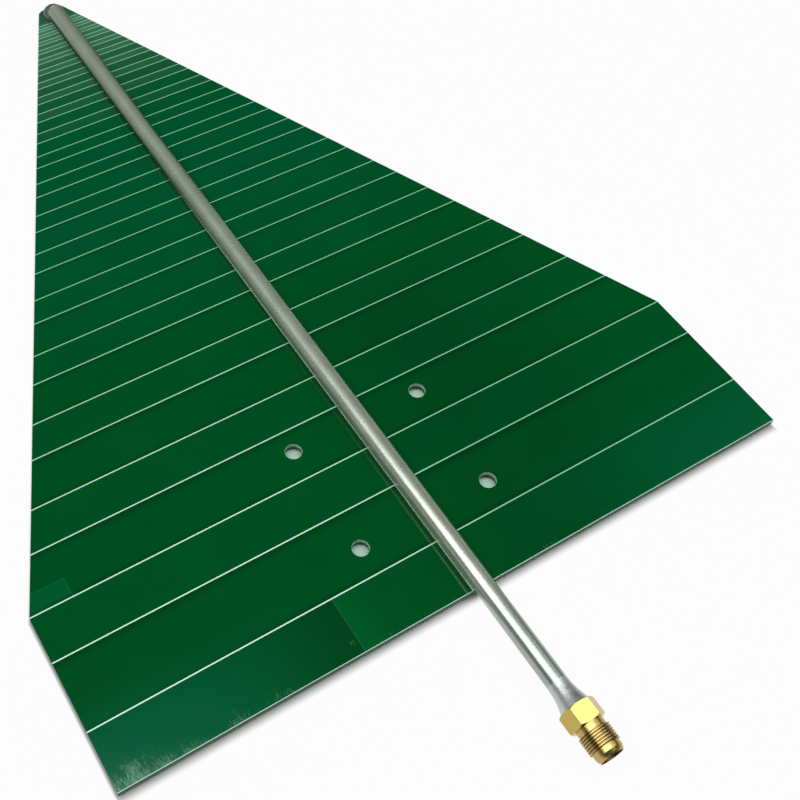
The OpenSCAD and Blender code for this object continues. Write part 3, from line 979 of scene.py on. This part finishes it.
def flow_mound(colours, pattern):
    """A low mound against the coax's end, cut flat on the pad and along its sides."""
    height = mound_high.z - mound_low.z
    radius = (pattern.tip_mound_r ** 2 + height ** 2) / (2 * height)
    mound = start(
        "tip_solder_mound", bpy.ops.mesh.primitive_uv_sphere_add, segments=SIDES, ring_count=64,
        radius=radius, location=(0, mound_high.y - pattern.tip_mound_r, mound_high.z - radius))
    edit(mound)
    for place, normal in (
            ((0, 0, mound_low.z), (0, 0, -1)), ((mound_high.x, 0, 0), (1, 0, 0)),
            ((mound_low.x, 0, 0), (-1, 0, 0)), ((0, mound_low.y, 0), (0, -1, 0))):
        cut(place, normal, clear_outer=True, use_fill=True)
    close_edit()
    outward(mound)
    lumps(mound, size_mm=1.3, height_mm=0.14)
    smooth(mound, 50)
    dress(mound, shared_finish(
        metal_finish, "dull solder under flux", tone=colours.dull_solder, roughness=0.5, grain_mm=0.8,
        relief_mm=0.05))
    hand_over(mound, "solder", "tip_solder")


def flow_cone(colours):
    """A cone that flares from the tube to the hexagon along an arc, its inside sunk in the tube."""
    collar = 1.5 * MM
    sunk_r = tube_r - 0.1 * MM
    rise = cone_high.x - tube_r
    start_y = cone_high.y + collar
    flare = start_y - cone_low.y
    arc_r = (flare ** 2 + rise ** 2) / (2 * rise)
    rings = 24
    profile = [(cone_low.y, sunk_r)]
    for ring in range(rings + 1):
        y = cone_low.y + flare * ring / rings
        profile.append((y, tube_r + arc_r - math.sqrt(arc_r ** 2 - (start_y - y) ** 2)))
    profile += [(start_y, sunk_r), (cone_low.y, sunk_r)]
    cone = turned("jack_solder_cone", profile)
    lumps(cone, size_mm=1.5, height_mm=0.06)
    smooth(cone, 50)
    dress(cone, solder_finish(colours))
    hand_over(cone, "solder", "jack_solder")


class ANTENNA_OT_solder(bpy.types.Operator):
    """Flow the solder of the seam, the tip and the jack's cone"""

    bl_idname = "antenna.solder"
    bl_label = "Solder"

    def execute(self, context):
        colours = context.scene.antenna_colours
        flow_seam(colours)
        flow_mound(colours, context.scene.antenna_pattern)
        flow_cone(colours)
        return {"FINISHED"}


def jack_stations(jack):
    """Places on Y of both ends of the hexagon and of the thread, from the board outwards."""
    hex_front_y = body_high.y - jack.hex_len
    thread_rear_y = hex_front_y - jack.neck_len
    return body_high.y, hex_front_y, thread_rear_y, thread_rear_y - jack.thread_len


def hexagon(jack):
    """The hexagon, its ends turned to a chamfer."""
    rear, front = jack_stations(jack)[:2]
    corner_r = jack.hex_af / 2 / math.cos(math.pi / 6)
    piece = bar("jack_body_turned", corner_r, front, rear, vertices=6)
    edit(piece)
    # The primitive stands on a corner, and a twelfth of a turn lays it on a flat
    flat_turn = math.pi / 6
    bpy.ops.transform.rotate(
        value=flat_turn + jack.hex_roll, orient_axis="Y", center_override=(0, 0, axis_z))
    close_edit()
    chamfer_r, chamfer_len = corner_r - jack.chamfer, 0.7 * jack.chamfer
    clear_r, core_r = corner_r + 0.01 * MM, 0.5 * MM
    turned_ends = turned("turned ends", [
        (front, core_r), (front, chamfer_r), (front + chamfer_len, clear_r),
        (rear - chamfer_len, clear_r), (rear, chamfer_r), (rear, core_r), (front, core_r)])
    carve(piece, turned_ends, "INTERSECT")
    carve(piece, bar("bore", insulator_high.x, front - MM, rear + MM))
    break_edges(piece, width_mm=0.06)
    return piece


def plain_barrel(jack):
    """The barrel without its thread, closed round its wall, from inside the hexagon to the open front."""
    hex_front_y, thread_rear_y, thread_front_y = jack_stations(jack)[1:]
    seat_y, front_y = hex_front_y + 0.2 * MM, body_low.y
    neck_r, bore_r, inner_r = jack.neck_d / 2, jack.front_bore_d / 2, insulator_high.x
    core_r = jack.thread_d / 2 - jack.thread_depth
    # The end ring tapers in two steps
    piece = turned("barrel", [
        (seat_y, inner_r), (seat_y, neck_r), (thread_rear_y, neck_r), (thread_rear_y, core_r),
        (thread_front_y, core_r), (thread_front_y, neck_r), (front_y + 2 * jack.chamfer, neck_r),
        (front_y + 0.7 * jack.chamfer, neck_r - 0.5 * jack.chamfer), (front_y, neck_r - jack.chamfer),
        (front_y, bore_r), (insulator_low.y, bore_r), (insulator_low.y, inner_r), (seat_y, inner_r)])
    break_edges(piece, width_mm=0.05)
    return piece


def wound_thread(jack):
    """The thread: a ridge wound round the barrel and cut off flush at both ends."""
    rear_end, front_end = jack_stations(jack)[2:]
    pitch = jack.thread_pitch
    crest_r = jack.thread_d / 2
    root_r = crest_r - jack.thread_depth - 0.05 * MM
    bpy.ops.object.select_all(action="DESELECT")
    bpy.ops.mesh.primitive_plane_add(size=1, location=(0, front_end - pitch, axis_z))
    piece = bpy.context.object
    piece.name = "thread"
    # Section of the ridge: radius and place along the pitch, in the order of the plane's corners
    ridge = ((root_r, -0.5), (crest_r, -0.17), (root_r, 0.5), (crest_r, 0.17))
    for vertex, (r, share) in zip(piece.data.vertices, ridge):
        vertex.co = (r, share * pitch, 0)
    edit(piece)
    bpy.ops.mesh.delete(type="ONLY_FACE")
    close_edit()
    turns = math.ceil(jack.thread_len / pitch) + 2
    modify(
        piece, "SCREW", axis="Y", angle=2 * math.pi, screw_offset=pitch, iterations=turns, steps=64,
        render_steps=64)
    bpy.ops.object.transform_apply(location=True, rotation=True, scale=True)
    edit(piece)
    cut((0, front_end, 0), (0, -1, 0), clear_outer=True, use_fill=True)
    cut((0, rear_end, 0), (0, 1, 0), clear_outer=True, use_fill=True)
    close_edit()
    outward(piece)
    return piece


class ANTENNA_OT_jack(bpy.types.Operator):
    """Turn the jack: hexagon, neck, thread, end ring and open front"""

    bl_idname = "antenna.jack"
    bl_label = "Jack"

    def execute(self, context):
        jack, colours = context.scene.antenna_jack, context.scene.antenna_colours
        body, barrel, thread = hexagon(jack), plain_barrel(jack), wound_thread(jack)
        browned = shared_finish(
            metal_finish, "browned brass barrel", tone=colours.thread_brass, roughness=0.28, grain_mm=0.6,
            relief_mm=0.006, metallic=0.93)
        dull = shared_finish(
            metal_finish, "dull bore brass", tone=colours.bore_brass, roughness=0.45, grain_mm=0.6,
            relief_mm=0.006)
        dress(body, brass_finish(colours))
        dress(barrel, browned, dull)
        dress(thread, shared_finish(thread_finish, "browned brass thread", colours=colours, jack=jack))
        bore_r = jack.front_bore_d / 2 + 0.02 * MM
        for face in barrel.data.polygons:
            if math.hypot(face.center.x, face.center.z - axis_z) < bore_r:
                face.material_index = 1
        choose(body, barrel, thread)
        bpy.ops.object.join()
        smooth(body, 12)
        hand_over(body, "jack_brass", "jack_body")
        return {"FINISHED"}


class ANTENNA_OT_kept_solids(bpy.types.Operator):
    """Finish the pieces whose solids are kept as they are"""

    bl_idname = "antenna.kept_solids"
    bl_label = "Laminate, Foil and Conductors"

    def execute(self, context):
        colours = context.scene.antenna_colours
        laminate = shared_finish(
            laminate_finish, "sawn glass epoxy", colours=colours, pattern=context.scene.antenna_pattern)
        copper = shared_finish(
            metal_finish, "rolled copper foil", tone=colours.copper, roughness=0.35, grain_mm=0.5,
            relief_mm=0.004)
        wire = shared_finish(
            metal_finish, "silvered wire", tone=colours.tinned_tube, roughness=0.25, grain_mm=0.5,
            relief_mm=0.004)
        insulation = shared_finish(insulation_finish, "turned fluoropolymer", tone=colours.insulation)
        for finish, nodes in (
                (laminate, ("laminate",)),
                (copper, ("top_copper", "bottom_copper", "end_patch", "rear_patch", "feed_via")),
                (solder_finish(colours), ("tip_joint",)),
                (wire, ("coax_centre",)),
                (brass_finish(colours), ("jack_contact",)),
                (insulation, ("coax_dielectric", "jack_insulator"))):
            for node in nodes:
                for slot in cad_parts[node].material_slots:
                    slot.material = finish
        return {"FINISHED"}


def past_outline(material, place, pattern):
    """How far a point of the table lies outside the board's outline."""
    axes = add(material, "SeparateXYZ", {"Vector": place}).outputs
    shoulder_y, taper = shoulder(pattern)
    side = add(material, "Math", {0: axes["X"]}, operation="ABSOLUTE")
    past = add(material, "Math", {0: axes["Y"], 1: shoulder_y}, operation="SUBTRACT")
    narrowed = add(material, "Math", {0: past, 1: taper}, operation="MULTIPLY")
    slope = add(material, "Math", {0: narrowed, 1: 0.0}, operation="MAXIMUM")
    outline = add(material, "Math", {0: side, 1: slope}, operation="ADD")
    beside = add(material, "Math", {0: outline, 1: half_w}, operation="SUBTRACT")
    # Its shadow is narrower at the sides than at the rear
    steep = add(material, "Math", {0: beside, 1: 2.5}, operation="MULTIPLY")
    behind = add(material, "Math", {0: rear_y, 1: axes["Y"]}, operation="SUBTRACT")
    ahead = add(material, "Math", {0: axes["Y"], 1: tip_y}, operation="SUBTRACT")
    either = add(material, "Math", {0: behind, 1: ahead}, operation="MAXIMUM")
    return add(material, "Math", {0: steep, 1: either}, operation="MAXIMUM")


def table_finish(name, colours, pattern):
    """Matt paper: white to the eye, and lit by itself in part so that its shadows stay light."""
    material, shader = blank_finish(name)
    place = add(material, "TexCoord").outputs["Object"]
    outside = past_outline(material, place, pattern)
    # Under the board and close to it the paper is only lit
    under = add(material, "MapRange", {"Value": outside, "From Min": -1 * MM, "From Max": 0.5 * MM})
    # Painted shade with a green cast from the board above: the paper under the board, as the mounting holes
    # show it
    tone = add(
        material, "Mix", {SHARE: under, BASE: rgba(colours.shaded_table), OVER: rgba(colours.table)},
        data_type="RGBA")
    feed(shader, {"Base Color": tone, "Roughness": 0.9, "Specular IOR Level": 0.0})
    clear = add(
        material, "MapRange", {"Value": outside, "From Min": 0.2 * MM, "From Max": 2 * MM, "To Max": 0.96},
        interpolation_type="SMOOTHSTEP")
    path = add(material, "LightPath").outputs
    seen = add(material, "Math", {0: path["Is Camera Ray"], 1: path["Is Glossy Ray"]}, operation="ADD")
    also = add(
        material, "Math", {0: seen, 1: path["Is Transmission Ray"]}, operation="ADD", use_clamp=True)
    share = add(material, "Math", {0: also, 1: clear}, operation="MULTIPLY")
    glow = add(material, "Emission", {"Color": (1.0, 1.0, 1.0, 1.0), "Strength": 1.0})
    paper = add(material, "MixShader", {0: share, 1: shader, 2: glow})
    feed(material.node_tree.get_output_node("ALL"), {"Surface": paper})
    return material


def hang_lamp(name, location, rotation, size, energy):
    """A soft rectangular lamp."""
    bpy.ops.object.light_add(type="AREA", location=location, rotation=rotation)
    lamp = bpy.context.object
    lamp.name = name
    lamp.data.shape = "RECTANGLE"
    lamp.data.size, lamp.data.size_y = size
    lamp.data.energy = energy


def dim_room():
    """A dim room with a pale wall at the far left, which the dull tube mirrors and the board does not."""
    world = bpy.data.worlds.new("dim room")
    world.use_nodes = True
    world.node_tree.nodes.clear()
    heading = add(world, "TexCoord").outputs["Generated"]
    axes = add(world, "SeparateXYZ", {"Vector": heading}).outputs
    to_wall = (-0.36, 0.83, 0.42)
    facing = add(world, "VectorMath", {0: heading, 1: to_wall}, operation="DOT_PRODUCT")
    wall = add(
        world, "MapRange",
        {"Value": facing, "From Min": 0.8, "From Max": 0.97, "To Min": 0.01, "To Max": 0.4},
        interpolation_type="SMOOTHSTEP")
    horizon = add(
        world, "MapRange",
        {"Value": axes["Z"], "From Min": 0.15, "From Max": 0.45, "To Min": 0.3, "To Max": 0.0},
        interpolation_type="SMOOTHSTEP")
    nearer = add(
        world, "MapRange",
        {"Value": axes["Y"], "From Min": 0.35, "From Max": 0.65, "To Min": 1.0, "To Max": 0.1},
        interpolation_type="SMOOTHSTEP")
    low = add(world, "Math", {0: horizon, 1: nearer}, operation="MULTIPLY")
    light = add(world, "Math", {0: wall, 1: low}, operation="MAXIMUM")
    background = add(world, "Background", {"Color": (1.0, 1.0, 1.0, 1.0), "Strength": light})
    add(world, "OutputWorld", {"Surface": background})
    return world


def stand_camera():
    """The camera, above and behind the rear left corner."""
    bpy.ops.object.camera_add(
        location=(-0.0827319, -0.0921537, 0.2010993),
        rotation=(math.radians(34.70248), math.radians(-1.41947), math.radians(-30.89920)))
    camera = bpy.context.object
    camera.data.lens = 52.6877
    camera.data.sensor_width = 36.0
    camera.data.shift_x = 0.129605
    camera.data.shift_y = -0.005035
    camera.data.clip_start = 0.01
    return camera


class ANTENNA_OT_stage(bpy.types.Operator):
    """Set up the table, the light and the camera"""

    bl_idname = "antenna.stage"
    bl_label = "Stage"

    def execute(self, context):
        scene = context.scene
        scene.view_settings.view_transform = "Standard"
        table = start("table", bpy.ops.mesh.primitive_plane_add, size=4, location=(0, 0, joint_low.z))
        dress(table, shared_finish(
            table_finish, "matt white table", colours=scene.antenna_colours, pattern=scene.antenna_pattern))
        # The long lamp is turned so that the board does not mirror it to the viewer
        hang_lamp(
            "soft lamp overhead", location=(-0.2, 0.0, 1.2), rotation=(0, 0, math.radians(-22)),
            size=(2.25, 0.75), energy=19.0)
        # The small one shows only in the tail and the jack
        hang_lamp(
            "small lamp at the right", location=(0.95, 0.05, 0.95), rotation=(0, math.radians(45), 0),
            size=(0.5, 0.4), energy=0.8)
        scene.world = dim_room()
        scene.camera = stand_camera()
        return {"FINISHED"}


class ANTENNA_PT_panel(bpy.types.Panel):
    """Sizes, colours and pieces of the antenna"""

    bl_idname = "ANTENNA_PT_panel"
    bl_label = "Log-periodic Antenna"
    bl_space_type = "VIEW_3D"
    bl_region_type = "UI"
    bl_category = "Antenna"

    def draw(self, context):
        scene = context.scene
        for group in (scene.antenna_pattern, scene.antenna_jack, scene.antenna_colours):
            box = self.layout.box()
            for name in group.__annotations__:
                box.prop(group, name)
        for operator in OPERATORS:
            self.layout.operator(operator.bl_idname)


OPERATORS = (
    ANTENNA_OT_mask_films, ANTENNA_OT_tinning, ANTENNA_OT_coax, ANTENNA_OT_solder, ANTENNA_OT_jack,
    ANTENNA_OT_kept_solids, ANTENNA_OT_stage,
)
CLASSES = (AntennaPattern, AntennaJack, AntennaColours, *OPERATORS, ANTENNA_PT_panel)


def register():
    for one in CLASSES:
        bpy.utils.register_class(one)
    bpy.types.Scene.antenna_pattern = bpy.props.PointerProperty(type=AntennaPattern)
    bpy.types.Scene.antenna_jack = bpy.props.PointerProperty(type=AntennaJack)
    bpy.types.Scene.antenna_colours = bpy.props.PointerProperty(type=AntennaColours)


def unregister():
    del bpy.types.Scene.antenna_colours
    del bpy.types.Scene.antenna_jack
    del bpy.types.Scene.antenna_pattern
    for one in reversed(CLASSES):
        bpy.utils.unregister_class(one)


def main():
    register()
    bpy.ops.antenna.mask_films()
    bpy.ops.antenna.tinning()
    bpy.ops.antenna.coax()
    bpy.ops.antenna.solder()
    bpy.ops.antenna.jack()
    bpy.ops.antenna.kept_solids()
    bpy.ops.antenna.stage()


if __name__ == "__main__":
    main()
